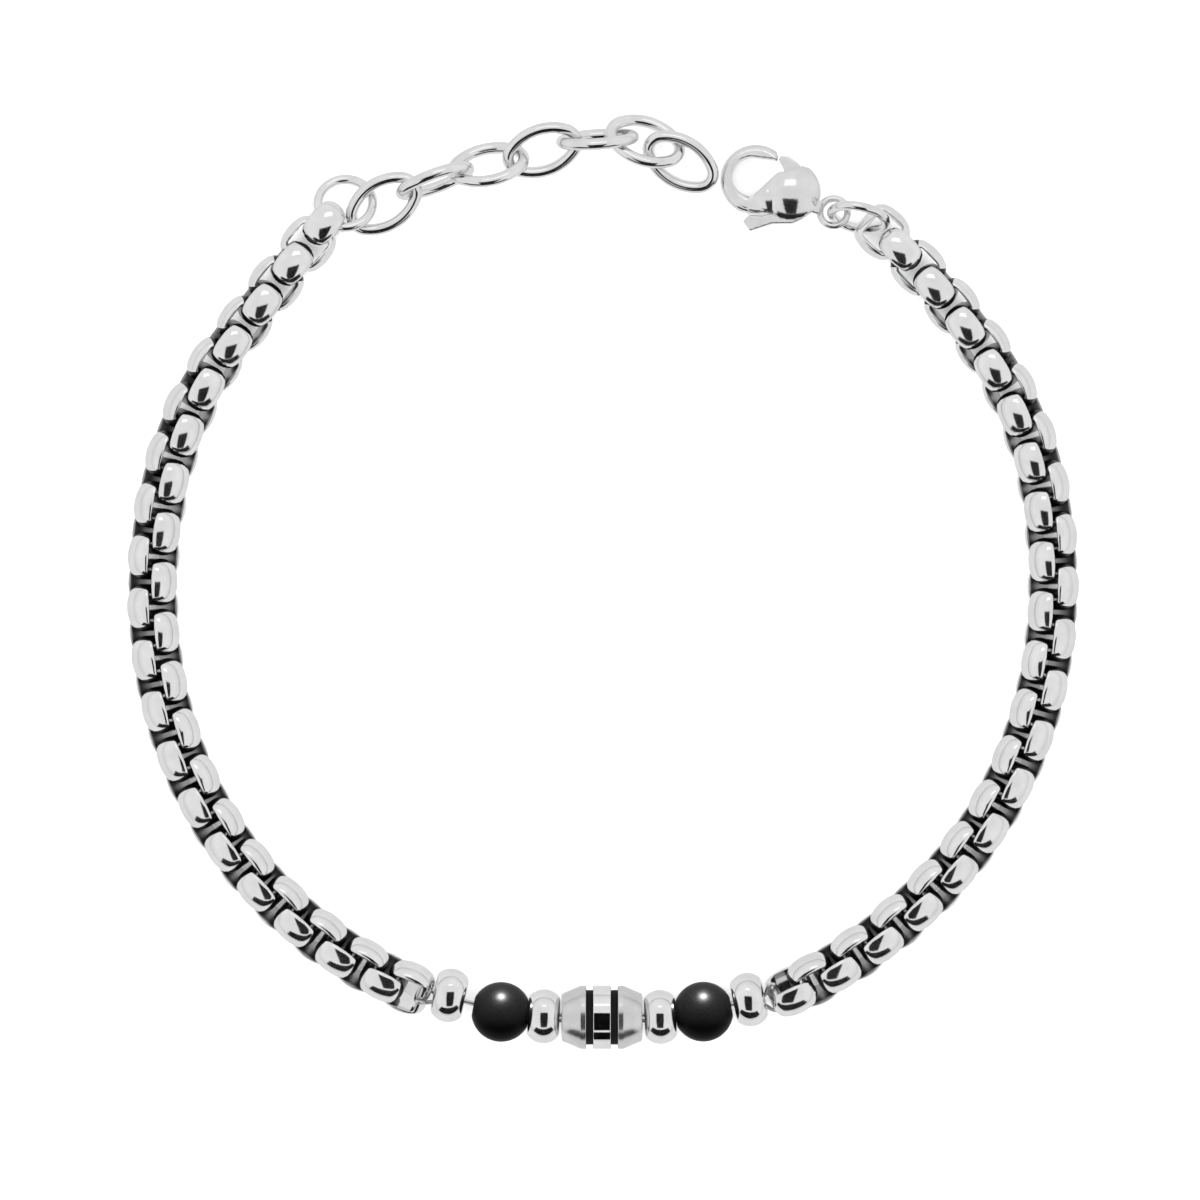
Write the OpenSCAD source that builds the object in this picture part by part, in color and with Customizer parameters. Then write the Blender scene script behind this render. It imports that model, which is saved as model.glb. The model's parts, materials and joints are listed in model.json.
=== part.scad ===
// Box chain bracelet laid out open: two chains, a row of beads, a lobster clasp and an extension chain.
// Origin at the bottom centre, +Z up. The bracelet lies on the floor z = 0.

/* [Chain] */
// Width of a box link across the chain
link_w = 3.96; // [3.8:0.02:4.1]
// Length of a box link along the chain
link_len = 3.60; // [3.5:0.02:3.64]
// Width of the strip that a link is bent from, at its middle
link_band = 2.36; // [2.2:0.02:2.36]
// Thickness of a link's end bars
link_bar = 0.72; // [0.66:0.02:0.76]
// Clear height of a link's hole
link_hole = 2.54; // [2.52:0.02:2.6]
// Distance from one link to the next
pitch = 1.94; // [1.92:0.01:1.98]
// Links in each chain
links = 37; // [35:1:37]
// Lean of the last link, gained faster near the first link
twist = 60; // [50:5:70]

/* [Beads] */
// Ball diameter
ball_d = 4.56; // [4.3:0.02:4.6]
// Bore of the balls
ball_bore = 1.40; // [1.2:0.05:2]
// Spacer outer diameter
spacer_d = 4.13; // [4:0.01:4.3]
// Spacer hole
spacer_hole = 2.00; // [1.8:0.05:2.2]
// Spacer width
spacer_w = 2.46; // [2.2:0.02:2.5]
// Radius of the crown across a spacer's rim
spacer_crown = 1.50; // [1.4:0.05:2]
// Barrel length
barrel_len = 6.14; // [5.8:0.02:6.2]
// Barrel diameter
barrel_d = 4.82; // [4.4:0.02:5]
// Barrel diameter at its ends
barrel_end_d = 3.52; // [3:0.02:4]
// Length of each cone of the barrel
barrel_cone = 1.44; // [1:0.02:1.6]
// Bore of the barrel
barrel_bore = 1.40; // [1.2:0.05:2]
// Width of a groove
groove_w = 0.54; // [0.3:0.02:0.6]
// Depth of a groove
groove_h = 0.34; // [0.1:0.02:0.6]
// Distance of each groove from the barrel's middle
groove_x = 0.94; // [0.7:0.02:1.2]
// Diameter of the bead wire
thread_d = 0.32; // [0.2:0.02:0.34]

/* [Rings] */
// Wire of the extension links
oval_wire = 0.90; // [0.7:0.05:0.9]
// Length of an extension link
oval_len = 6.34; // [6.3:0.02:6.4]
// Width of an extension link
oval_w = 4.28; // [4.2:0.02:4.4]
// Play of each joint between two extension links
link_play = 0.28; // [0.26:0.02:0.34]
// Wire of the jump rings
ring_wire = 0.72; // [0.5:0.02:0.72]
// Outer diameter of the jump rings
ring_d = 4.90; // [4.86:0.02:4.94]

/* [Clasp] */
// Height of the clasp body at its middle
clasp_h = 2.80; // [2.6:0.05:3]
// Height of the hook
hook_h = 1.50; // [1.4:0.05:1.8]
// Height of the lever
lever_h = 0.80; // [0.6:0.05:0.85]
// Slot for the lever
slot_h = 1.00; // [0.9:0.05:1.1]
// Diameter of the lever's pin
pin_d = 0.80; // [0.6:0.05:1]

/* [Hidden] */
$fn = 48;

// Brings the middle of the whole outline to the origin
origin_shift = [-0.04, 0.01, 0];
module placed() {
  translate(origin_shift) children();
}

// Chains: x, y and heading of the first link
left_start = [-21.2, 27.2, 230];
right_start = [21.3, 26.6, -42.5];
// Bends of each chain. Columns: how many links, turn from each of them to the next
left_turns = [[6, 0.5], [6, 4], [8, 3], [16, 3.5]];
right_turns = [[6, -2], [6, -4], [8, -3], [8, -3.5], [8, -3]];
chain_z = link_w / 2;
function turn_at(t, i, k = 0) =
  k >= len(t) ? 0 : i < t[k][0] ? t[k][1] : turn_at(t, i - t[k][0], k + 1);
function frames(s, t) = [
  for (i = 0, x = s[0], y = s[1], h = s[2]; i < links;
    x = x + pitch * cos(h + turn_at(t, i) / 2),
    y = y + pitch * sin(h + turn_at(t, i) / 2),
    h = h + turn_at(t, i),
    i = i + 1)
  [x, y, h]];
left_path = frames(left_start, left_turns);
right_path = frames(right_start, right_turns);

// A closed box link: the chain runs along X, the hole along Y
side_arc = 3.2;
corner_arc = 2.13;
end_arc = 1.35;
band_arc = 4.5;
band_arc_y = 3.3;
module link_profile() {
  intersection() {
    translate([0, -link_len / 2]) square([link_w, link_len]);
    translate([link_w / 2 - side_arc, 0]) circle(r = side_arc);
    circle(r = corner_arc);
  }
}
module link_plan() {
  end_x = link_len / 2 - end_arc;
  intersection() {
    square([link_len, link_band], center = true);
    union() {
      translate([end_x, 0]) circle(r = end_arc);
      translate([-end_x, 0]) circle(r = end_arc);
      square([2 * end_x, 2 * end_arc], center = true);
    }
  }
}
module box_link() {
  difference() {
    intersection() {
      rotate([0, 90, 0]) rotate_extrude() link_profile();
      linear_extrude(height = 2 * link_w, center = true) link_plan();
      translate([0, band_arc_y, 0]) cylinder(h = 2 * link_w, r = band_arc, center = true);
      translate([0, -band_arc_y, 0]) cylinder(h = 2 * link_w, r = band_arc, center = true);
    }
    cube([link_len - 2 * link_bar, 2 * link_w, link_hole], center = true);
  }
}
function lean_at(lean, i) = lean * (1 - pow(1 - i / (links - 1), 2));
module chain(path, lean, first) {
  for (i = [0 : links - 1]) {
    quarter = (i + first) % 2 * 90;
    translate([path[i][0], path[i][1], chain_z])
      rotate([0, 0, path[i][2]])
        rotate([quarter + lean_at(lean, i), 0, 0])
          box_link();
  }
}
module chain_left() {
  color("silver") chain(left_path, -twist, 0);
}
module chain_right() {
  color("silver") chain(right_path, twist, 1);
}

// Beads: each lies on the floor with its bore along the row
module bead_at(x, y, z, heading) {
  translate([x, y, z]) rotate([0, 0, heading]) rotate([0, 90, 0]) children();
}
module spacer_section() {
  edge_r = (spacer_d - spacer_hole) / 4;
  flat = spacer_w - 2 * edge_r;
  intersection() {
    translate([(spacer_d + spacer_hole) / 4, 0]) union() {
      translate([0, flat / 2]) circle(r = edge_r);
      translate([0, -flat / 2]) circle(r = edge_r);
      square([2 * edge_r, flat], center = true);
    }
    translate([spacer_d / 2 - spacer_crown, 0]) circle(r = spacer_crown);
  }
}
module spacer(x, y, heading) {
  color("silver") bead_at(x, y, spacer_d / 2, heading) rotate_extrude() spacer_section();
}
module ball(x, y, heading) {
  color("dimgray") bead_at(x, y, ball_d / 2, heading) difference() {
    sphere(d = ball_d);
    cylinder(h = 2 * ball_d, d = ball_bore, center = true);
  }
}
module barrel(x, y) {
  straight = barrel_len - 2 * barrel_cone;
  color("gray") bead_at(x, y, barrel_d / 2, 0) difference() {
    union() {
      cylinder(h = straight, d = barrel_d, center = true);
      translate([0, 0, straight / 2])
        cylinder(h = barrel_cone, d1 = barrel_d, d2 = barrel_end_d);
      translate([0, 0, -straight / 2 - barrel_cone])
        cylinder(h = barrel_cone, d1 = barrel_end_d, d2 = barrel_d);
    }
    for (side = [-1, 1]) translate([0, 0, side * groove_x]) difference() {
      cylinder(h = groove_w, d = barrel_d + 1, center = true);
      cylinder(h = groove_w + 1, d = barrel_d - 2 * groove_h, center = true);
    }
    cylinder(h = 2 * barrel_len, d = barrel_bore, center = true);
  }
}

// A closed loop of points swept with a wire of so many flat sides
function unit(v) = v / norm(v);
module tube(points, r, sides) {
  n = len(points);
  rings = [for (i = [0 : n - 1])
    let (along = unit(points[(i + 1) % n] - points[(i + n - 1) % n]),
      across = unit(cross(along, [0, 0, 1])),
      up = cross(across, along))
    for (k = [0 : sides - 1])
      points[i] + r * (across * cos(360 * k / sides) + up * sin(360 * k / sides))];
  polyhedron(rings, [for (i = [0 : n - 1]) for (k = [0 : sides - 1])
    [i * sides + k,
      i * sides + (k + 1) % sides,
      (i + 1) % n * sides + (k + 1) % sides,
      (i + 1) % n * sides + k]]);
}

// Bead wire: two strands that change sides along the row and close round the last bar of each chain
strand_gap = 0.24;
row_end = 11.4;
row_step = 0.6;
// Way round the last bar. Columns: distance along the chain, distance to the side
wire_ends = [[0.86, 0], [0.86, 0.7], [0.98, 1.20], [1.20, 1.29], [1.42, 1.20], [1.68, 0.98], [1.98, 0.70]];
function row_y(x) = -33.40 + 0.0125 * x * x;
function row_z(x) = 2.28 - 0.0012 * x * x;
function row_point(x, s) = let (a = -90 - 90 * (x + row_end) / row_end)
  [x, row_y(x) + s * strand_gap * cos(a), row_z(x) + s * strand_gap * sin(a)];
function leaned(p, roll, heading) = let (y = p[1] * cos(roll), z = p[1] * sin(roll))
  [p[0] * cos(heading) - y * sin(heading), p[0] * sin(heading) + y * cos(heading), z];
function end_point(f, roll, p, s) = [f[0], f[1], chain_z] + leaned([p[0], s * p[1]], roll, f[2]);
left_last = left_path[links - 1];
right_last = right_path[links - 1];
right_roll = twist + 90;
// One strand from the left end to the right end, or back again
function left_loop(s, order) = [for (i = order) end_point(left_last, -twist, wire_ends[i], s)];
function right_loop(s, order) = [for (i = order) end_point(right_last, right_roll, wire_ends[i], s)];
last_end = len(wire_ends) - 1;
outward = [1 : last_end];
inward = [last_end : -1 : 0];
strands = concat(
  left_loop(1, outward),
  [for (x = [-row_end : row_step : row_end]) row_point(x, 1)],
  right_loop(1, inward),
  right_loop(-1, outward),
  [for (x = [row_end : -row_step : -row_end]) row_point(x, -1)],
  left_loop(-1, inward));
module bead_wire() {
  color("gainsboro") tube(strands, thread_d / 2, 6);
}

// A pose is x, y, z, heading, roll and pitch
module posed(p) {
  translate([p[0], p[1], p[2]]) rotate([0, 0, p[3]]) rotate([0, p[5], 0]) rotate([p[4], 0, 0]) children();
}

// Jump rings: each hangs in the first link of its chain, at a bearing and distance from that link
ring_gap = 3;
function ring_pose(link, bearing, reach, z, heading, roll, pitch) =
  [link[0] + reach * cos(bearing), link[1] + reach * sin(bearing), z, heading, roll, pitch];
left_ring = ring_pose(left_path[0], 45, 2.26, 1.86, 0, -26, 0);
right_ring = ring_pose(right_path[0], 149, 2.10, 2.33, -13, 70, 4);
module jump_ring(pose, cut) {
  color("silver") posed(pose) rotate([0, 0, cut]) rotate_extrude(angle = 360 - ring_gap)
    translate([(ring_d - ring_wire) / 2, 0]) circle(d = ring_wire);
}

// Extension links: an oval of four arcs, swept with a six-sided wire
oval_end_r = 1.15;
oval_a = (oval_len - oval_wire) / 2;
oval_b = (oval_w - oval_wire) / 2;
oval_end_x = oval_a - oval_end_r;
oval_side_r = (pow(oval_end_x, 2) + pow(oval_b, 2) - pow(oval_end_r, 2)) / (2 * (oval_b - oval_end_r));
oval_side_y = oval_side_r - oval_b;
oval_turn = atan2(oval_side_y, oval_end_x);
arc_steps = 4;
function arc(cx, cy, r, first, last) = [
  for (i = [0 : arc_steps - 1])
    let (a = first + (last - first) * i / arc_steps)
      [cx + r * cos(a), cy + r * sin(a), 0]];
oval_path = concat(
  arc(oval_end_x, 0, oval_end_r, -oval_turn, oval_turn),
  arc(0, -oval_side_y, oval_side_r, oval_turn, 180 - oval_turn),
  arc(-oval_end_x, 0, oval_end_r, 180 - oval_turn, 180 + oval_turn),
  arc(0, oval_side_y, oval_side_r, 180 + oval_turn, 360 - oval_turn));
// How the links lie, each a taut joint's step from the one before, less its slack
extension_start = [-16.65, 28.75];
joint_step = oval_len - 2 * oval_wire - link_play;
// Columns: slack, bearing from the link before, heading, roll, pitch, height
extension_lay = [
  [0, 0, 32, 10, -5, 2.05],
  [0, 24, 20, 76, 0, 2.2],
  [0, 17, 12, -40, 2, 2.0],
  [0, 15, 20, 25, -4, 2.0],
  [0, 11, 4, -74, 0, 2.1],
  [0.6, -2, -19, -26, 0, 1.8],
  [1.15, -30, -32, 22, 4, 1.7]];
function extension_xy(i) = i == 0 ? extension_start :
  let (row = extension_lay[i], before = extension_xy(i - 1), step = joint_step - row[0])
    [before[0] + step * cos(row[1]), before[1] + step * sin(row[1])];
function extension_pose(i) = let (row = extension_lay[i], p = extension_xy(i))
  [p[0], p[1], row[5], row[2], row[3], row[4]];
module extension_link(number) {
  color("silver") posed(extension_pose(number - 1)) tube(oval_path, oval_wire / 2, 6);
}

// Clasp: origin at the eyelet's centre, X toward the hook, lying flat with the eyelet raised a little
clasp_pose = [17.63, 28.11, 1.82, 165.6, 0, 6.2];
eyelet_r = 1.05;
eyelet_wire = 0.56;
// Swellings of the body. Columns: x, y, radius in plan, half height, radius of the curve
dome = [3.6, -0.72, 2.3, clasp_h / 2, 3.3];
tail = [5.0, 0.0, 1.35, 1.08, 2.1];
hook_at = [6.4, -0.95];
hook_r = 2.68;
hook_wire_at = 1.98;
hook_wire_r = 0.80;
hole_at = [6.75, -1.1];
hole_r = 1.5;
hole_side = [[3.87, -3.28], [6.82, 1.17], [9.5, 1.17], [9.5, -3.28]];
pivot = [3.3, 0];
pin_len = 1.7;
pin_play = 0.14;
module tall() {
  translate([0, 0, -clasp_h]) linear_extrude(height = 2 * clasp_h) children();
}
module hole() {
  intersection() {
    translate(hole_at) circle(r = hole_r);
    polygon(hole_side);
  }
}
module hook() {
  difference() {
    intersection() {
      translate([hook_at[0], hook_at[1], 0]) rotate_extrude()
        translate([hook_wire_at, 0]) circle(r = hook_wire_r);
      translate([hook_at[0], hook_at[1], -hook_h / 2]) cylinder(h = hook_h, r = hook_r);
    }
    tall() polygon([[2.5, -4], [5.2, -4], [5.2, -2.72], [4.55, -2.1], [2.5, -2.1]]);
  }
}
module swelling(s) {
  intersection() {
    translate([s[0], s[1], s[3] - s[4]]) sphere(r = s[4]);
    translate([s[0], s[1], s[4] - s[3]]) sphere(r = s[4]);
    translate([s[0], s[1], -clasp_h]) cylinder(h = 2 * clasp_h, r = s[2]);
  }
}
module slot() {
  translate([0, 0, -slot_h / 2]) linear_extrude(height = slot_h)
    polygon([[1.70, 2.4], [1.62, 0.2], [2.0, -0.8], [2.45, -1.8], [2.75, -2.7], [2.9, -3.6],
      [5.3, -3.6], [5.6, -1.35], [4.8, -1.0], [4.4, -0.2], [4.42, 0.9], [4.75, 1.3],
      [7.2, 1.72], [7.6, 3.4], [1.7, 3.4]]);
}
module clasp_body() {
  color("silver") posed(clasp_pose) {
    difference() {
      union() {
        swelling(dome);
        swelling(tail);
        hook();
        translate([0, 0, -hook_h / 2]) linear_extrude(height = hook_h)
          polygon([[3.6, 1.2], [4.58, 1.25], [6.3, 1.5], [6.6, 0.6], [4.5, -1.5]]);
      }
      slot();
      tall() hole();
      tall() polygon([[5.91, -0.2], [4.53, -2.28], [5.1, -2.8], [6.9, -2.59]]);
      tall() polygon([[3.2, -3.6], [3.2, -2.72], [4.3, -2.05], [5.0, -1.75], [5.19, -3.6]]);
    }
    rotate_extrude() translate([eyelet_r, 0]) circle(d = eyelet_wire);
    translate([1.0, -0.55, -0.45]) cube([0.6, 1.0, 0.9]);
    translate([pivot[0], pivot[1], -pin_len / 2]) cylinder(h = pin_len, d = pin_d);
  }
}
module lever_plan() {
  difference() {
    polygon([[4.96, -3.20], [5.06, -2.85], [4.50, -2.25], [4.15, -1.4], [4.15, -0.2], [4.25, 1.0],
      [5.2, 1.62], [6.19, 1.78], [6.56, 2.35], [5.87, 2.96], [4.35, 2.0], [2.83, 1.6], [2.1, 1.0],
      [2.2, -0.2], [2.65, -1.5], [3.0, -2.6], [3.6, -3.0], [4.43, -3.33]]);
    translate(pivot) circle(d = pin_d + pin_play);
  }
}
module clasp_lever() {
  color("silver") posed(clasp_pose) translate([0, 0, -lever_h / 2])
    linear_extrude(height = lever_h) lever_plan();
}

placed() chain_left();
placed() chain_right();
placed() spacer(-11.65, -31.57, -12);  // spacer_1
placed() spacer(-4.47, -33.17, -3);  // spacer_2
placed() spacer(4.40, -33.22, 3);  // spacer_3
placed() spacer(11.15, -31.90, 12);  // spacer_4
placed() ball(-7.72, -32.82, -11);  // ball_left
placed() ball(7.68, -32.80, 11);  // ball_right
placed() barrel(-0.04, -33.22);
placed() bead_wire();
placed() jump_ring(left_ring, 100);  // jump_ring_left
placed() jump_ring(right_ring, 250);  // jump_ring_right
placed() extension_link(1);  // extension_link_1
placed() extension_link(2);  // extension_link_2
placed() extension_link(3);  // extension_link_3
placed() extension_link(4);  // extension_link_4
placed() extension_link(5);  // extension_link_5
placed() extension_link(6);  // extension_link_6
placed() extension_link(7);  // extension_link_7
placed() clasp_body();
placed() clasp_lever();
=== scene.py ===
"""Box chain bracelet laid out open: dressed chains, beads, rings and clasp in a white studio."""

import json
import logging
import math
from dataclasses import dataclass, field
from enum import Enum

import bpy
import numpy as np
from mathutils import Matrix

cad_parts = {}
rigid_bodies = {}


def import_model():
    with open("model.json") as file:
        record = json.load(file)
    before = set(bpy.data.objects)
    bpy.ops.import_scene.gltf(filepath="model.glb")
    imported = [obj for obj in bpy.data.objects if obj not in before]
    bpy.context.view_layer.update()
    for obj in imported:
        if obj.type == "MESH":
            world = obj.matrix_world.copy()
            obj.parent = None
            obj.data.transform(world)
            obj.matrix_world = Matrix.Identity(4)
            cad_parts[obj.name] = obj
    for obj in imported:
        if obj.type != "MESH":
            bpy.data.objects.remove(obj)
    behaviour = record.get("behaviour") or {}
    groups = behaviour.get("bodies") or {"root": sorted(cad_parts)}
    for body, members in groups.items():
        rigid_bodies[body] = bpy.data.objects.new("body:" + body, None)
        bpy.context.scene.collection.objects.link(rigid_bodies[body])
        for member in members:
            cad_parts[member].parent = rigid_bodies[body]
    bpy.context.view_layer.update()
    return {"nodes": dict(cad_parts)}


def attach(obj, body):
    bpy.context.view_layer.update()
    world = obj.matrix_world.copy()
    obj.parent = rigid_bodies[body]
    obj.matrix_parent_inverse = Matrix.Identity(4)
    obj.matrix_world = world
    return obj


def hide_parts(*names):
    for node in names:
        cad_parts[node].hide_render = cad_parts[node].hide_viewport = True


MM = 0.001
# Brings the middle of the whole outline to the origin, in millimetres
SHIFT = np.array([-0.04, 0.01, 0.0])
LOG = logging.getLogger("bracelet")


class Body(Enum):
    """The moving bodies that a piece can ride on."""

    BRACELET = "bracelet"
    LEVER = "lever"


class StudioSide(Enum):
    """Where a reflected card stands, as seen from the bracelet."""

    ABOVE = "above"
    BACK = "back"
    FRONT = "front"


def rotation(heading: float, roll: float, pitch: float = 0.0) -> np.ndarray:
    """Turn about X by roll, then about Y by pitch, then about Z by heading.

    Args:
        heading: Degrees about Z.
        roll: Degrees about X.
        pitch: Degrees about Y.

    Returns:
        A 3 by 3 matrix.
    """
    h, r, p = (math.radians(v) for v in (heading, roll, pitch))
    about_x = np.array([[1, 0, 0], [0, math.cos(r), -math.sin(r)], [0, math.sin(r), math.cos(r)]])
    about_y = np.array([[math.cos(p), 0, math.sin(p)], [0, 1, 0], [-math.sin(p), 0, math.cos(p)]])
    about_z = np.array([[math.cos(h), -math.sin(h), 0], [math.sin(h), math.cos(h), 0], [0, 0, 1]])
    return about_z @ about_y @ about_x


def make_object(name: str, points: np.ndarray, faces: list, body: Body, slot: str,
                *nodes: str) -> bpy.types.Object:
    """Make a smooth mesh piece that replaces CAD nodes.

    Args:
        name: Name of the piece.
        points: Vertices in millimetres in the part's frame, before the shift to the middle.
        faces: Vertex indices of each face.
        body: The body that the piece rides on.
        slot: The material slot in the record; not used.
        nodes: The CAD nodes that the piece stands for.

    Returns:
        The new object.
    """
    mesh = bpy.data.meshes.new(name)
    mesh.from_pydata(((points + SHIFT) * MM).tolist(), [], faces)
    mesh.validate()
    mesh.polygons.foreach_set("use_smooth", [True] * len(mesh.polygons))
    mesh.update()
    piece = bpy.data.objects.new(name, mesh)
    bpy.context.scene.collection.objects.link(piece)
    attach(piece, body.value)
    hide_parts(*nodes)
    return piece


def grid_faces(rows: int, columns: int) -> list:
    """Faces of a grid that closes on itself both ways.

    Args:
        rows: Number of rings.
        columns: Points in each ring.

    Returns:
        Quads with outward normals.
    """
    faces = []
    for i in range(rows):
        j = (i + 1) % rows
        for k in range(columns):
            m = (k + 1) % columns
            faces.append((i * columns + k, i * columns + m, j * columns + m, j * columns + k))
    return faces


def sweep(path: np.ndarray, radius: float, sides: int) -> tuple[np.ndarray, list]:
    """Carry a round section along a closed path.

    Args:
        path: Points of the closed path.
        radius: Radius of the section.
        sides: Points round the section.

    Returns:
        The vertices and the faces.
    """
    tangent = np.roll(path, -1, 0) - np.roll(path, 1, 0)
    tangent /= np.linalg.norm(tangent, axis=1)[:, None]
    side = np.cross(tangent, [0, 0, 1.0])
    side /= np.maximum(np.linalg.norm(side, axis=1), 1e-9)[:, None]
    up = np.cross(side, tangent)
    a = np.linspace(0, 2 * math.pi, sides, endpoint=False)[None, :, None]
    rings = path[:, None] + radius * (side[:, None] * np.cos(a) + up[:, None] * np.sin(a))
    return rings.reshape(-1, 3), grid_faces(len(path), sides)


@dataclass(frozen=True)
class Steel:
    """Polished or satin steel with faint polishing lines and handling marks."""

    name: str
    tone: float = 0.80
    roughness: float = 0.12
    wear: float = 0.04
    bump: float = 0.03
    grain: float = 9000.0
    cloud_share: float = 0.09
    bump_depth: float = 0.00002

    def material(self) -> bpy.types.Material:
        """Build the node material.

        Returns:
            The material.
        """
        mat = bpy.data.materials.new(self.name)
        mat.use_nodes = True
        tree = mat.node_tree
        bsdf = tree.nodes["Principled BSDF"]
        bsdf.inputs["Metallic"].default_value = 1.0
        place = tree.nodes.new("ShaderNodeTexCoord")
        cloud = tree.nodes.new("ShaderNodeTexNoise")
        cloud.inputs["Scale"].default_value = self.grain * self.cloud_share
        cloud.inputs["Detail"].default_value = 3.0
        tree.links.new(place.outputs["Object"], cloud.inputs["Vector"])
        colour = tree.nodes.new("ShaderNodeValToRGB")
        low, high = self.tone - self.wear, self.tone + self.wear
        colour.color_ramp.elements[0].position = 0.3
        colour.color_ramp.elements[0].color = (low, low, low * 1.005, 1)
        colour.color_ramp.elements[1].position = 0.7
        colour.color_ramp.elements[1].color = (high, high, high, 1)
        tree.links.new(cloud.outputs["Fac"], colour.inputs["Fac"])
        tree.links.new(colour.outputs["Color"], bsdf.inputs["Base Color"])
        rough = tree.nodes.new("ShaderNodeMapRange")
        rough.inputs["To Min"].default_value = self.roughness * 0.75
        rough.inputs["To Max"].default_value = self.roughness * 1.3
        tree.links.new(cloud.outputs["Fac"], rough.inputs["Value"])
        tree.links.new(rough.outputs["Result"], bsdf.inputs["Roughness"])
        lines = tree.nodes.new("ShaderNodeTexNoise")
        lines.inputs["Scale"].default_value = self.grain
        lines.inputs["Detail"].default_value = 4.0
        tree.links.new(place.outputs["Object"], lines.inputs["Vector"])
        bump = tree.nodes.new("ShaderNodeBump")
        bump.inputs["Strength"].default_value = self.bump
        bump.inputs["Distance"].default_value = self.bump_depth
        tree.links.new(lines.outputs["Fac"], bump.inputs["Height"])
        tree.links.new(bump.outputs["Normal"], bsdf.inputs["Normal"])
        return mat


@dataclass(frozen=True)
class BlackCoat:
    """Satin black coat on steel."""

    name: str
    tone: float = 0.0008
    roughness: float = 0.32
    shine: float = 0.035
    grain: float = 5200.0
    bump: float = 0.12
    bump_depth: float = 0.00002

    def material(self) -> bpy.types.Material:
        """Build the node material.

        Returns:
            The material.
        """
        mat = bpy.data.materials.new(self.name)
        mat.use_nodes = True
        tree = mat.node_tree
        bsdf = tree.nodes["Principled BSDF"]
        bsdf.inputs["Specular IOR Level"].default_value = self.shine
        place = tree.nodes.new("ShaderNodeTexCoord")
        grain = tree.nodes.new("ShaderNodeTexNoise")
        grain.inputs["Scale"].default_value = self.grain
        grain.inputs["Detail"].default_value = 5.0
        tree.links.new(place.outputs["Object"], grain.inputs["Vector"])
        colour = tree.nodes.new("ShaderNodeValToRGB")
        colour.color_ramp.elements[0].color = (self.tone * 0.6,) * 3 + (1,)
        colour.color_ramp.elements[1].color = (self.tone * 1.7,) * 3 + (1,)
        tree.links.new(grain.outputs["Fac"], colour.inputs["Fac"])
        tree.links.new(colour.outputs["Color"], bsdf.inputs["Base Color"])
        rough = tree.nodes.new("ShaderNodeMapRange")
        rough.inputs["To Min"].default_value = self.roughness * 0.85
        rough.inputs["To Max"].default_value = self.roughness * 1.2
        tree.links.new(grain.outputs["Fac"], rough.inputs["Value"])
        tree.links.new(rough.outputs["Result"], bsdf.inputs["Roughness"])
        bump = tree.nodes.new("ShaderNodeBump")
        bump.inputs["Strength"].default_value = self.bump
        bump.inputs["Distance"].default_value = self.bump_depth
        tree.links.new(grain.outputs["Fac"], bump.inputs["Height"])
        tree.links.new(bump.outputs["Normal"], bsdf.inputs["Normal"])
        return mat


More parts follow.
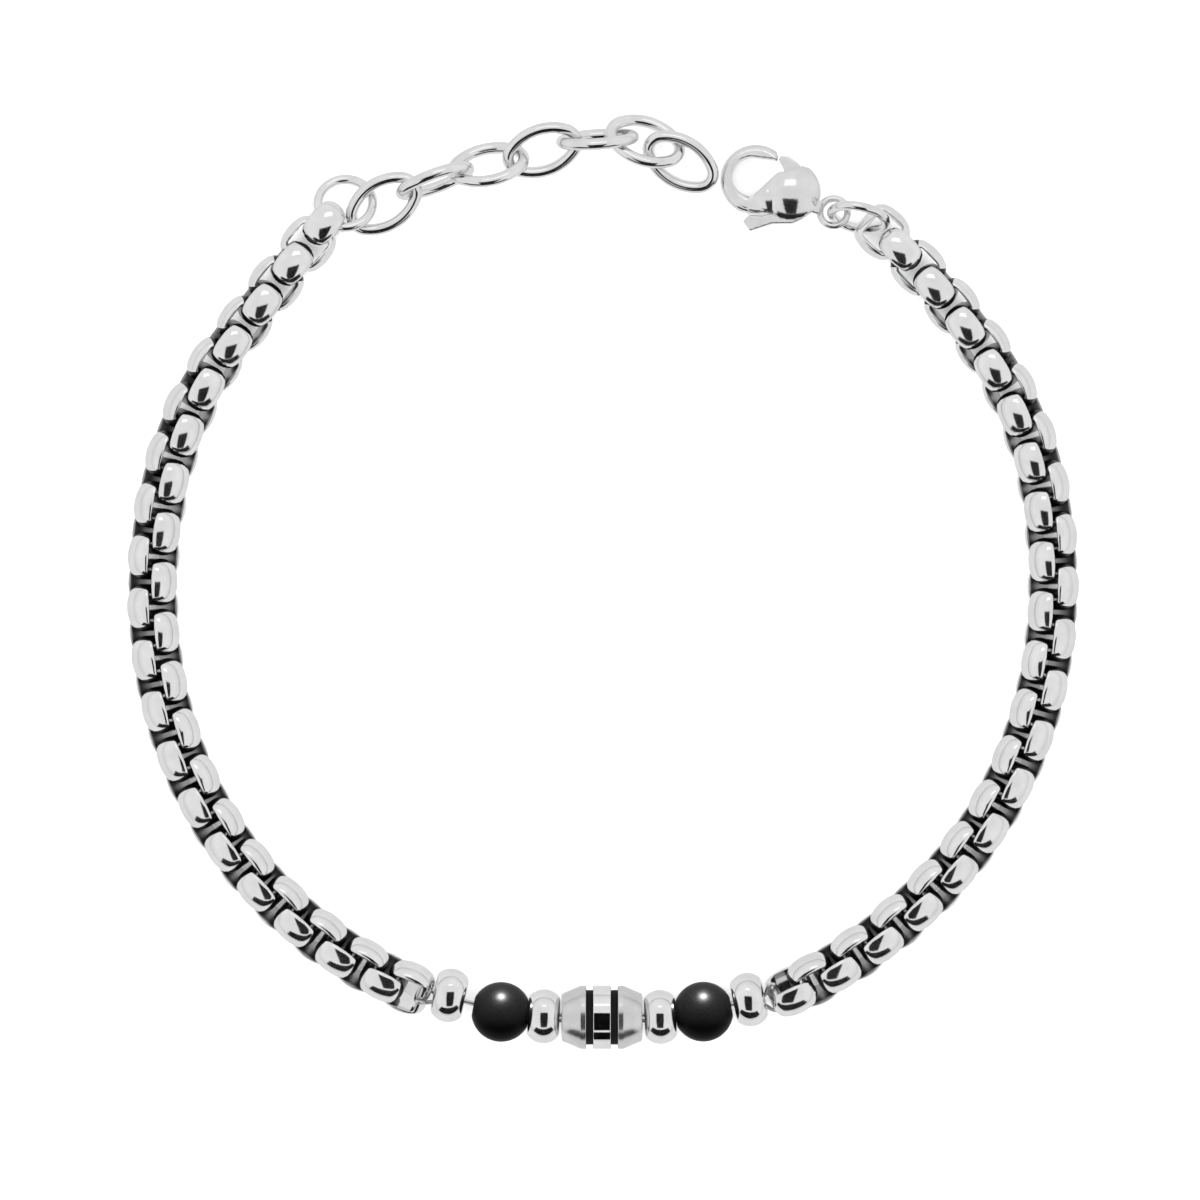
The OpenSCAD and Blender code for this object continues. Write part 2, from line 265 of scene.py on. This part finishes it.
@dataclass(frozen=True)
class BoxLink:
    """One closed box link: a bent strip with its hole along Y and the chain along X."""

    width: float = 3.96
    length: float = 3.60
    band: float = 2.36
    band_arc: float = 4.5
    band_arc_y: float = 3.3
    bar: float = 0.72
    hole: float = 2.54
    side_arc: float = 3.2
    corner_arc: float = 2.13
    end_arc: float = 1.35
    edge: float = 0.12
    hole_corner: float = 0.35
    reach: float = 3.2
    halvings: int = 30
    steps: int = 64

    def half_width(self, x: np.ndarray) -> np.ndarray:
        """Half the width of the strip at x, where its edges bulge."""
        return np.minimum(self.band / 2, np.sqrt(self.band_arc**2 - x * x) - self.band_arc_y)

    def outer(self, angle: np.ndarray, share: float) -> np.ndarray:
        """Distance from the middle to the outside.

        Args:
            angle: Directions in the plane of the link.
            share: Place across the strip, from -1 to 1.

        Returns:
            One distance for each direction.
        """
        low, high = np.zeros_like(angle), np.full_like(angle, self.reach)
        for _ in range(self.halvings):
            mid = (low + high) / 2
            x, z = mid * np.cos(angle), mid * np.sin(angle)
            y = share * self.half_width(x)
            end = self.length / 2 - self.end_arc + np.sqrt(np.maximum(self.end_arc**2 - y * y, 0))
            r2 = y * y + z * z
            side = self.width / 2 - self.side_arc + np.sqrt(np.maximum(self.side_arc**2 - x * x, 0))
            inside = (np.sqrt(r2) <= side) & (np.abs(x) <= end) & (x * x + r2 <= self.corner_arc**2)
            low, high = np.where(inside, mid, low), np.where(inside, high, mid)
        return low

    def inner(self, angle: np.ndarray) -> np.ndarray:
        """Distance from the middle to the wall of the hole.

        Args:
            angle: Directions in the plane of the link.

        Returns:
            One distance for each direction.
        """
        half_x, half_z, c = self.length / 2 - self.bar, self.hole / 2, self.hole_corner
        low, high = np.zeros_like(angle), np.full_like(angle, self.reach)
        for _ in range(self.halvings):
            mid = (low + high) / 2
            x, z = np.abs(mid * np.cos(angle)), np.abs(mid * np.sin(angle))
            dx, dz = np.maximum(x - half_x + c, 0), np.maximum(z - half_z + c, 0)
            inside = (dx * dx + dz * dz <= c * c) & (x <= half_x) & (z <= half_z)
            low, high = np.where(inside, mid, low), np.where(inside, high, mid)
        return low

    def points(self) -> tuple[np.ndarray, list]:
        """Mesh of the link round its own middle.

        Returns:
            The vertices and the faces.
        """
        angle = np.linspace(0, 2 * math.pi, self.steps, endpoint=False)
        e, f = self.edge, self.edge / (self.band / 2)
        rounding = [(1 - f, 0), (1 - 0.3 * f, 0.3 * e), (1, e)]
        outside = [(-1 + f, 0), (-0.55, 0), (-0.18, 0), (0.18, 0), (0.55, 0), *rounding]
        wall = [*reversed(rounding), (0, 0), *((-share, inset) for share, inset in rounding)]
        close = [(-1, e), (-1 + 0.3 * f, 0.3 * e)]
        hole = self.inner(angle)
        columns = []
        for row, is_wall in ((outside, False), (wall, True), (close, False)):
            for share, inset in row:
                rho = hole + inset if is_wall else self.outer(angle, share) - inset
                x = rho * np.cos(angle)
                columns.append(np.stack([x, share * self.half_width(x), rho * np.sin(angle)], 1))
        rings = np.stack(columns, 1)
        return rings.reshape(-1, 3), grid_faces(self.steps, len(columns))


@dataclass(frozen=True)
class ChainPath:
    """Where each link of a chain lies: a start and a turn for every step."""

    start: tuple[float, float, float]
    turns: tuple[tuple[int, float], ...]
    lean: float
    first_quarter: int
    pitch: float = 1.94
    links: int = 37
    height: float = 1.98

    def frames(self) -> list[tuple[float, float, float]]:
        """Middle and heading of each link.

        Returns:
            x, y and heading for each link.
        """
        x, y, heading = self.start
        out = [(x, y, heading)]
        for count, turn in self.turns:
            for _ in range(count):
                way = math.radians(heading + turn / 2)
                x, y = x + self.pitch * math.cos(way), y + self.pitch * math.sin(way)
                heading += turn
                out.append((x, y, heading))
        return out

    def roll(self, i: int) -> float:
        """Roll of link i about the chain."""
        gained = 1 - (1 - i / (self.links - 1)) ** 2
        return (i + self.first_quarter) % 2 * 90 + self.lean * gained

    def last_point(self, x: float, y: float) -> np.ndarray:
        """A point given in the last link's own directions.

        Args:
            x: Along the chain.
            y: Along the hole.

        Returns:
            The point in the part's frame.
        """
        a, b, heading = self.frames()[-1]
        turn = rotation(heading, self.roll(self.links - 1))
        return turn @ np.array([x, y, 0.0]) + np.array([a, b, self.height])


LEFT_PATH = ChainPath((-21.2, 27.2, 230), ((6, 0.5), (6, 4), (8, 3), (16, 3.5)), -60, 0)
RIGHT_PATH = ChainPath((21.3, 26.6, -42.5), ((6, -2), (6, -4), (8, -3), (8, -3.5), (8, -3)), 60, 1)


@dataclass
class Chain:
    """A run of interlocking box links as one piece."""

    name: str
    path: ChainPath
    link: BoxLink = field(default_factory=BoxLink)
    finish: Steel = Steel("polished steel chain", tone=0.82, roughness=0.11)
    # Painted shade: a darker steel on the walls of each link's hole, where the hole lies in shade.
    hole_shade: Steel = Steel("steel with painted hole shade", tone=0.32, roughness=0.30, wear=0.05)
    # Painted shade: near-black steel on the ends of the links, where they lie in shade between their
    # neighbours.
    shade: Steel = Steel("steel with painted shade at link ends", tone=0.04, roughness=0.30, wear=0.02)
    # These links get plain polished steel, without any painted shade.
    unshaded_links: tuple[int, ...] = (0, 1, 36)
    shaded_wall_columns: tuple[int, int] = (8, 14)
    middle_column: int = 3
    end_shade_from: float = 1.46

    def build(self) -> bpy.types.Object:
        """Lay the links along the path.

        Returns:
            The chain's mesh piece.
        """
        shape, quads = self.link.points()
        points, faces = [], []
        for i, (x, y, heading) in enumerate(self.path.frames()):
            turned = shape @ rotation(heading, self.path.roll(i)).T
            faces += [tuple(v + len(shape) * i for v in q) for q in quads]
            points.append(turned + np.array([x, y, self.path.height]))
        return make_object(self.name + "_links", np.vstack(points), faces, Body.BRACELET,
                           "steel_chain", self.name)

    def dress(self, piece: bpy.types.Object) -> None:
        """Give the chain its polished steel, with painted shade: a darker steel on the hole walls and a
        near-black one on the hidden link ends.

        Args:
            piece: The chain's mesh piece.
        """
        for finish in (self.finish, self.hole_shade, self.shade):
            piece.data.materials.append(finish.material())
        shape, quads = self.link.points()
        columns = len(quads) // self.link.steps
        middle = shape[np.array(quads)].mean(1)[:, 0].reshape(-1, columns)[:, self.middle_column]
        # Faces far enough along the link from its middle carry the painted shade of the link ends.
        ends = np.repeat(np.abs(middle) > self.end_shade_from, columns)
        column = np.arange(len(quads)) % columns
        # The wall columns of each link get the painted hole shade in slot 1.
        first, past = self.shaded_wall_columns
        # Slot 2 is painted shade on the link ends, slot 1 painted shade on the hole walls, slot 0 plain
        # polished steel.
        slots = np.where(ends, 2, np.where((column >= first) & (column < past), 1, 0))
        for poly in piece.data.polygons:
            i, k = divmod(poly.index, len(quads))
            poly.material_index = 0 if i in self.unshaded_links else int(slots[k])


@dataclass
class Ring:
    """A round jump ring or an oval extension link of round wire."""

    node: str
    pose: tuple[float, float, float, float, float, float]
    length: float
    width: float
    wire: float
    end_radius: float
    sides: int = 20
    finish: Steel = Steel("polished steel wire", tone=0.80, roughness=0.08)

    def centre_line(self) -> np.ndarray:
        """Closed centre line of the wire, round its own middle.

        Returns:
            The points of the line.
        """
        a, b, r = (self.length - self.wire) / 2, (self.width - self.wire) / 2, self.end_radius
        if abs(a - b) < 1e-6:
            t = np.linspace(0, 2 * math.pi, 96, endpoint=False)
            return np.stack([a * np.cos(t), a * np.sin(t), 0 * t], 1)
        side = ((a - r) ** 2 + b * b - r * r) / (2 * (b - r))
        turn = math.atan2(side - b, a - r)
        arcs = ((a - r, 0, r, -turn, turn),
                (0, b - side, side, turn, math.pi - turn),
                (r - a, 0, r, math.pi - turn, math.pi + turn),
                (0, side - b, side, math.pi + turn, 2 * math.pi - turn))
        out = []
        for cx, cy, radius, first, last in arcs:
            t = np.linspace(first, last, 26, endpoint=False)
            out.append(np.stack([cx + radius * np.cos(t), cy + radius * np.sin(t), 0 * t], 1))
        return np.vstack(out)

    def build(self) -> bpy.types.Object:
        """Sweep the wire and lay the ring where it lies.

        Returns:
            The ring's mesh piece.
        """
        x, y, z, heading, roll, pitch = self.pose
        points, faces = sweep(self.centre_line(), self.wire / 2, self.sides)
        points = points @ rotation(heading, roll, pitch).T + np.array([x, y, z])
        return make_object(self.node + "_wire", points, faces, Body.BRACELET, "steel_rings",
                           self.node)

    def dress(self, piece: bpy.types.Object) -> None:
        """Give the ring its polished steel."""
        piece.data.materials.append(self.finish.material())


@dataclass
class Bead:
    """A bead turned from a profile of radius and length about its bore."""

    node: str
    slot: str
    place: tuple[float, float, float]
    heading: float
    profile: list[tuple[float, float]]
    finishes: tuple
    zones: tuple[tuple[float, int], ...] = ()
    steps: int = 96

    def build(self) -> bpy.types.Object:
        """Turn the profile.

        Returns:
            The bead's mesh piece.
        """
        a = np.linspace(0, 2 * math.pi, self.steps, endpoint=False)
        rows = [[(x, r * math.cos(t), r * math.sin(t)) for r, x in self.profile] for t in a]
        points = np.array(rows).reshape(-1, 3) @ rotation(self.heading, 0).T + np.array(self.place)
        return make_object(self.node + "_bead", points, grid_faces(self.steps, len(self.profile)),
                           Body.BRACELET, self.slot, self.node)

    def dress(self, piece: bpy.types.Object) -> None:
        """Give each zone along the bead its finish.

        Args:
            piece: The bead's mesh piece.
        """
        for finish in self.finishes:
            piece.data.materials.append(finish.material())
        n = len(self.profile)
        for poly in piece.data.polygons:
            k = poly.index % n
            x = abs(self.profile[k][1] + self.profile[(k + 1) % n][1]) / 2
            poly.material_index = next((m for limit, m in self.zones if x < limit), 0)


def spacer_profile(outer: float = 4.13, hole: float = 2.00, width: float = 2.46,
                   crown: float = 1.50) -> list[tuple[float, float]]:
    """Rounded ring section of a spacer: a narrow oval cut by a wide crown arc.

    Args:
        outer: Outer diameter.
        hole: Hole diameter.
        width: Width of the narrow oval along the bore.
        crown: Radius of the crown arc.

    Returns:
        Radius and length pairs round the section.
    """
    r, mid = (outer - hole) / 4, (outer + hole) / 4
    flat, centre = width / 2 - r, outer / 2 - crown
    out = []
    for t in np.linspace(0, 2 * math.pi, 44, endpoint=False):
        low, high = 0.0, 2.0
        for _ in range(26):
            reach = (low + high) / 2
            radius, x = mid + reach * math.cos(t), reach * math.sin(t)
            oval = math.hypot(radius - mid, max(abs(x) - flat, 0)) <= r
            crowned = math.hypot(radius - centre, x) <= crown
            low, high = (reach, high) if oval and crowned else (low, reach)
        out.append((mid + low * math.cos(t), low * math.sin(t)))
    return out


def ball_profile(diameter: float = 4.56, bore: float = 1.40) -> list[tuple[float, float]]:
    """Section of a drilled ball.

    Args:
        diameter: Ball diameter.
        bore: Bore diameter.

    Returns:
        Radius and length pairs round the section.
    """
    r, b = diameter / 2, bore / 2
    first = math.asin(b / r)
    around = np.linspace(first + 0.05, math.pi - first - 0.05, 40)
    lip = r * math.cos(first)
    rim = [(b + 0.03, lip - 0.01), (b, lip - 0.08)]
    return [*((r * math.sin(t), -r * math.cos(t)) for t in around), *rim, (b, 0.0),
            *((q, -x) for q, x in reversed(rim))]


def barrel_profile(length: float = 6.14, diameter: float = 4.82, end: float = 3.52,
                   cone: float = 1.44, groove: float = 0.54, depth: float = 0.34,
                   groove_x: float = 0.94, bore: float = 1.4) -> list[tuple[float, float]]:
    """Section of the barrel with its cones, grooves and bore.

    Args:
        length: Length along the bore.
        diameter: Largest diameter.
        end: Diameter at the ends.
        cone: Length of a cone.
        groove: Width of a groove.
        depth: Depth of a groove.
        groove_x: Distance of a groove from the middle.
        bore: Bore diameter.

    Returns:
        Radius and length pairs round the section.
    """
    h, r, e, b, c = length / 2, diameter / 2, end / 2, bore / 2, 0.05
    near, far = groove_x - groove / 2, groove_x + groove / 2
    band = [(r, 0.0), (r, near - 2 * c), (r, near - c), (r - c * 0.3, near - c * 0.3)]
    trough = [(r - c, near), (r - depth, near + 0.01), (r - depth, far - 0.01), (r - c, far)]
    rim = [(r - c * 0.3, far + c * 0.3), (r, far + c), (r, far + 2 * c), (r, h - cone - 0.10)]
    slope = [(r, h - cone - 0.05), (r - 0.02, h - cone + 0.05), (e + (r - e) * 0.5, h - cone * 0.5)]
    face = [(e + 0.07, h - 0.10), (e, h - 0.03), (e - 0.06, h), (b + 0.06, h), (b, h - 0.06)]
    right = [*band, *trough, *rim, *slope, *face, (b, 0.4)]
    return [(q, -x) for q, x in reversed(right[1:])] + right


@dataclass
class BeadWire:
    """The doubled wire through the beads, closed round the last link of each chain."""

    diameter: float = 0.32
    strand_gap: float = 0.24
    row_end: float = 11.4
    ends: tuple[tuple[float, float], ...] = (
        (0.86, 0), (0.86, 0.7), (0.98, 1.20), (1.20, 1.29), (1.42, 1.20), (1.68, 0.98), (1.98, 0.70))
    finish: Steel = Steel("drawn steel wire", tone=0.62, roughness=0.22, bump=0.08)

    def row_point(self, x: float, s: int) -> np.ndarray:
        """A point of one strand among the beads.

        Args:
            x: Place along the row.
            s: 1 or -1 for the strand.

        Returns:
            The point in the part's frame.
        """
        a = math.radians(-90 - 90 * (x + self.row_end) / self.row_end)
        return np.array([x, -33.40 + 0.0125 * x * x + s * self.strand_gap * math.cos(a),
                         2.28 - 0.0012 * x * x + s * self.strand_gap * math.sin(a)])

    def path(self) -> np.ndarray:
        """The closed path of both strands, smoothed.

        Returns:
            The points of the path.
        """
        out: list[np.ndarray] = []
        for s, first, last in ((1, LEFT_PATH, RIGHT_PATH), (-1, RIGHT_PATH, LEFT_PATH)):
            out += [first.last_point(x, s * y) for x, y in self.ends[1:]]
            out += [self.row_point(s * x, s) for x in np.arange(-self.row_end, self.row_end + 0.01, 0.6)]
            out += [last.last_point(x, s * y) for x, y in reversed(self.ends)]
        p = np.array(out)
        before, after, beyond = np.roll(p, 1, 0), np.roll(p, -1, 0), np.roll(p, -2, 0)
        half = (9 * (p + after) - before - beyond) / 16
        return np.stack([p, half], 1).reshape(-1, 3)

    def build(self) -> bpy.types.Object:
        """Sweep the wire.

        Returns:
            The wire's mesh piece.
        """
        points, faces = sweep(self.path(), self.diameter / 2 * 0.98, 10)
        return make_object("bead_wire_strands", points, faces, Body.BRACELET, "steel_wire",
                           "bead_wire")

    def dress(self, piece: bpy.types.Object) -> None:
        """Give the wire its drawn steel."""
        piece.data.materials.append(self.finish.material())


@dataclass
class ClaspPart:
    """The clasp's body or lever: the solid with every edge softened as a casting's are."""

    node: str
    body: Body
    voxel: float = 0.06
    rounds: int = 12
    finish: Steel = Steel("polished steel clasp", tone=0.76, roughness=0.12)

    def build(self, solid: bpy.types.Object) -> bpy.types.Object:
        """Soften a copy of the solid.

        Args:
            solid: The CAD node's object.

        Returns:
            The softened mesh piece.
        """
        copy = bpy.data.objects.new(self.node + "_cast", solid.data.copy())
        bpy.context.scene.collection.objects.link(copy)
        remesh = copy.modifiers.new("remesh", "REMESH")
        remesh.mode, remesh.voxel_size, remesh.use_smooth_shade = "VOXEL", self.voxel * MM, True
        soften = copy.modifiers.new("soften", "SMOOTH")
        soften.factor, soften.iterations = 0.5, self.rounds
        graph = bpy.context.evaluated_depsgraph_get()
        mesh = bpy.data.meshes.new_from_object(copy.evaluated_get(graph))
        copy.modifiers.clear()
        copy.data = mesh
        mesh.materials.clear()
        mesh.polygons.foreach_set("use_smooth", [True] * len(mesh.polygons))
        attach(copy, self.body.value)
        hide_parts(self.node)
        return copy

    def dress(self, piece: bpy.types.Object) -> None:
        """Give the casting its polished steel."""
        piece.data.materials.append(self.finish.material())


@dataclass
class Studio:
    """White floor, white surroundings, cards that only reflections see, and the long lens."""

    field_mm: float = 91.8
    aim_mm: tuple[float, float] = (-0.23, -1.44)
    lamp_at: tuple[float, float, float] = (0.0, 0.60, 0.30)
    lamp_size: float = 0.22
    lamp_power: float = 150.0
    lens: float = 200.0
    floor_half: float = 1.2
    cards: tuple = (
        (StudioSide.ABOVE, (-40, -130, 100), (-40, 0, 100), (40, 0, 100), 0.0),
        (StudioSide.BACK, (-30, 65, 100), (-30, 100, 100), (30, 100, 100), 1.3),
        (StudioSide.FRONT, (-240, -260, 20), (-240, -260, 175), (240, -260, 175), 0.0))
    sensor: float = 36.0
    daylight: float = 2.4
    floor_tone: float = 0.9
    beads_y: float = -0.033
    surround: tuple[tuple[float, float], ...] = (
        (0.0, 0.80), (0.40, 0.88), (0.50, 0.72), (0.56, 0.82), (0.70, 0.90), (0.98, 0.84))

    def floor(self) -> bpy.types.Object:
        """A plain white floor.

        Returns:
            The floor.
        """
        h = self.floor_half
        mesh = bpy.data.meshes.new("floor")
        mesh.from_pydata([(-h, -h, 0), (h, -h, 0), (h, h, 0), (-h, h, 0)], [], [(0, 1, 2, 3)])
        piece = bpy.data.objects.new("floor", mesh)
        bpy.context.scene.collection.objects.link(piece)
        mat = bpy.data.materials.new("white sheet")
        mat.use_nodes = True
        bsdf = mat.node_tree.nodes["Principled BSDF"]
        bsdf.inputs["Base Color"].default_value = (self.floor_tone,) * 3 + (1,)
        bsdf.inputs["Roughness"].default_value = 1.0
        bsdf.inputs["Specular IOR Level"].default_value = 0.0
        mesh.materials.append(mat)
        piece.visible_glossy = False
        return piece

    def card(self, side: StudioSide, first: tuple, second: tuple, third: tuple,
             strength: float) -> None:
        """A card that only reflections see.

        Args:
            side: Which card it is.
            first: A corner in millimetres.
            second: The next corner.
            third: The corner opposite the first.
            strength: Brightness of the card.
        """
        a, b, c = (np.array(corner) * MM for corner in (first, second, third))
        name = "card_" + side.value
        mesh = bpy.data.meshes.new(name)
        mesh.from_pydata([tuple(corner) for corner in (a, b, c, a + c - b)], [], [(0, 1, 2, 3)])
        piece = bpy.data.objects.new(name, mesh)
        bpy.context.scene.collection.objects.link(piece)
        mat = bpy.data.materials.new(name)
        mat.use_nodes = True
        tree = mat.node_tree
        glow = tree.nodes.new("ShaderNodeEmission")
        glow.inputs["Strength"].default_value = strength
        tree.links.new(glow.outputs["Emission"], tree.nodes["Material Output"].inputs["Surface"])
        mesh.materials.append(mat)
        piece.visible_camera = piece.visible_diffuse = piece.visible_shadow = False

    def ball_light(self) -> None:
        """A soft lamp that only the black balls see, behind and above them."""
        data = bpy.data.lights.new("ball_light", "AREA")
        data.shape, data.size, data.energy = "DISK", self.lamp_size, self.lamp_power
        lamp = bpy.data.objects.new("ball_light", data)
        bpy.context.scene.collection.objects.link(lamp)
        lamp.location = self.lamp_at
        lamp.rotation_euler = (-math.atan2(self.lamp_at[1] - self.beads_y, self.lamp_at[2]), 0, 0)
        balls = bpy.data.collections.new("lit_balls")
        for piece in bpy.context.scene.objects:
            if piece.name.startswith("ball_") and piece.type == "MESH":
                balls.objects.link(piece)
        lamp.light_linking.receiver_collection = balls

    def world(self) -> None:
        """Even white light from all round."""
        world = bpy.data.worlds.new("studio")
        world.use_nodes = True
        tree = world.node_tree
        plain = tree.nodes["Background"]
        plain.inputs["Color"].default_value = (1, 1, 1, 1)
        plain.inputs["Strength"].default_value = self.daylight
        place = tree.nodes.new("ShaderNodeTexCoord")
        split = tree.nodes.new("ShaderNodeSeparateXYZ")
        tree.links.new(place.outputs["Generated"], split.inputs["Vector"])
        height = tree.nodes.new("ShaderNodeMapRange")
        height.inputs["From Min"].default_value = -1.0
        tree.links.new(split.outputs["Z"], height.inputs["Value"])
        ramp = tree.nodes.new("ShaderNodeValToRGB")
        elements = ramp.color_ramp.elements
        for spot, tone in self.surround:
            element = elements.new(spot)
            element.color = (tone, tone, tone, 1)
        elements.remove(elements[0])
        elements.remove(elements[-1])
        tree.links.new(height.outputs["Result"], ramp.inputs["Fac"])
        seen = tree.nodes.new("ShaderNodeBackground")
        tree.links.new(ramp.outputs["Color"], seen.inputs["Color"])
        ray = tree.nodes.new("ShaderNodeLightPath")
        mix = tree.nodes.new("ShaderNodeMixShader")
        tree.links.new(ray.outputs["Is Glossy Ray"], mix.inputs["Fac"])
        tree.links.new(plain.outputs["Background"], mix.inputs[1])
        tree.links.new(seen.outputs["Background"], mix.inputs[2])
        tree.links.new(mix.outputs["Shader"], tree.nodes["World Output"].inputs["Surface"])
        bpy.context.scene.world = world
        bpy.context.scene.view_settings.view_transform = "Standard"

    def camera(self) -> None:
        """Look straight down through a long lens."""
        data = bpy.data.cameras.new("camera")
        data.lens, data.sensor_width = self.lens, self.sensor
        eye = bpy.data.objects.new("camera", data)
        away = self.field_mm * MM * self.lens / self.sensor
        eye.location = (self.aim_mm[0] * MM, self.aim_mm[1] * MM, away)
        data.clip_start = 0.01
        bpy.context.scene.collection.objects.link(eye)
        bpy.context.scene.camera = eye

    def build(self) -> None:
        """Set up the whole studio."""
        self.world()
        self.floor()
        for card in self.cards:
            self.card(*card)
        self.ball_light()
        self.camera()


@dataclass(frozen=True)
class ExtensionRow:
    """How an extension link lies, seen from the link before it."""

    slack: float
    bearing: float
    heading: float
    roll: float
    pitch: float
    height: float


@dataclass(frozen=True)
class Fittings:
    """The jump rings and the extension links, laid by the same rule as the solids."""

    length: float = 6.34
    width: float = 4.28
    wire: float = 0.90
    play: float = 0.28
    start: tuple[float, float] = (-16.65, 28.75)
    ring_d: float = 4.90
    ring_wire: float = 0.72
    rows: tuple[ExtensionRow, ...] = (
        ExtensionRow(0, 0, 32, 10, -5, 2.05), ExtensionRow(0, 24, 20, 76, 0, 2.2),
        ExtensionRow(0, 17, 12, -40, 2, 2.0), ExtensionRow(0, 15, 20, 25, -4, 2.0),
        ExtensionRow(0, 11, 4, -74, 0, 2.1), ExtensionRow(0.6, -2, -19, -26, 0, 1.8),
        ExtensionRow(1.15, -30, -32, 22, 4, 1.7))

    def jump_ring(self, node: str, path: ChainPath, bearing: float, reach: float, z: float,
                  turn: tuple[float, float, float]) -> Ring:
        """A jump ring hung in the first link of a chain.

        Args:
            node: The ring's node.
            path: The chain that it hangs in.
            bearing: Direction of the ring's middle from the link.
            reach: Distance of the ring's middle from the link.
            z: Height of the ring's middle.
            turn: Heading, roll and pitch.

        Returns:
            The ring.
        """
        x, y, _ = path.frames()[0]
        a = math.radians(bearing)
        pose = (x + reach * math.cos(a), y + reach * math.sin(a), z, *turn)
        return Ring(node, pose, self.ring_d, self.ring_d, self.ring_wire, 2.0)

    def extension(self) -> list[Ring]:
        """The extension links, each a joint's step from the one before.

        Returns:
            The links.
        """
        out, (x, y) = [], self.start
        for i, row in enumerate(self.rows):
            step = self.length - 2 * self.wire - self.play - row.slack if i else 0.0
            a = math.radians(row.bearing)
            x, y = x + step * math.cos(a), y + step * math.sin(a)
            pose = (x, y, row.height, row.heading, row.roll, row.pitch)
            out.append(Ring(f"extension_link_{i + 1}", pose, self.length, self.width, self.wire, 1.15))
        return out

    def all(self) -> list[Ring]:
        """Every ring and extension link.

        Returns:
            The two jump rings and the seven links.
        """
        left = self.jump_ring("jump_ring_left", LEFT_PATH, 45, 2.26, 1.86, (0, -26, 0))
        right = self.jump_ring("jump_ring_right", RIGHT_PATH, 149, 2.10, 2.33, (-13, 70, 4))
        return [left, right, *self.extension()]


def beads() -> list[Bead]:
    """The spacers, balls and barrel of the row.

    Returns:
        The beads.
    """
    steel = Steel("polished steel spacer", tone=0.82, roughness=0.10)
    black = BlackCoat("satin black ball")
    spacers = ((-11.65, -31.57, -12), (-4.47, -33.17, -3), (4.40, -33.22, 3), (11.15, -31.90, 12))
    balls = (("ball_left", -7.72, -32.82, -11), ("ball_right", 7.68, -32.80, 11))
    out = [Bead(f"spacer_{i}", "steel_spacers", (x, y, 2.065), heading, spacer_profile(), (steel,))
           for i, (x, y, heading) in enumerate(spacers, 1)]
    out += [Bead(node, "black_satin", (x, y, 2.28), heading, ball_profile(), (black,))
            for node, x, y, heading in balls]
    band = Steel("polished barrel band", tone=0.84, roughness=0.05)
    cones = Steel("satin barrel cones", tone=0.66, roughness=0.22, bump=0.15)
    groove = BlackCoat("blackened grooves", tone=0.006, roughness=0.5)
    zones = ((0.64, 1), (1.22, 2))
    out.append(Bead("barrel", "satin_steel", (-0.04, -33.22, 2.41), 0, barrel_profile(),
                    (cones, band, groove), zones))
    return out


def main() -> None:
    """Build, dress and light the bracelet."""
    logging.basicConfig(level=logging.INFO, format="%(message)s")
    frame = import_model()
    chains = (Chain("chain_left", LEFT_PATH), Chain("chain_right", RIGHT_PATH))
    clasp = (ClaspPart("clasp_body", Body.BRACELET),
             ClaspPart("clasp_lever", Body.LEVER, voxel=0.05, rounds=14))
    for part in (*chains, *Fittings().all(), *beads(), BeadWire()):
        piece = part.build()
        part.dress(piece)
        LOG.info("%s: %d faces", piece.name, len(piece.data.polygons))
    for part in clasp:
        piece = part.build(frame["nodes"][part.node])
        part.dress(piece)
        LOG.info("%s: %d faces", piece.name, len(piece.data.polygons))
    Studio().build()


if __name__ == "__main__":
    main()
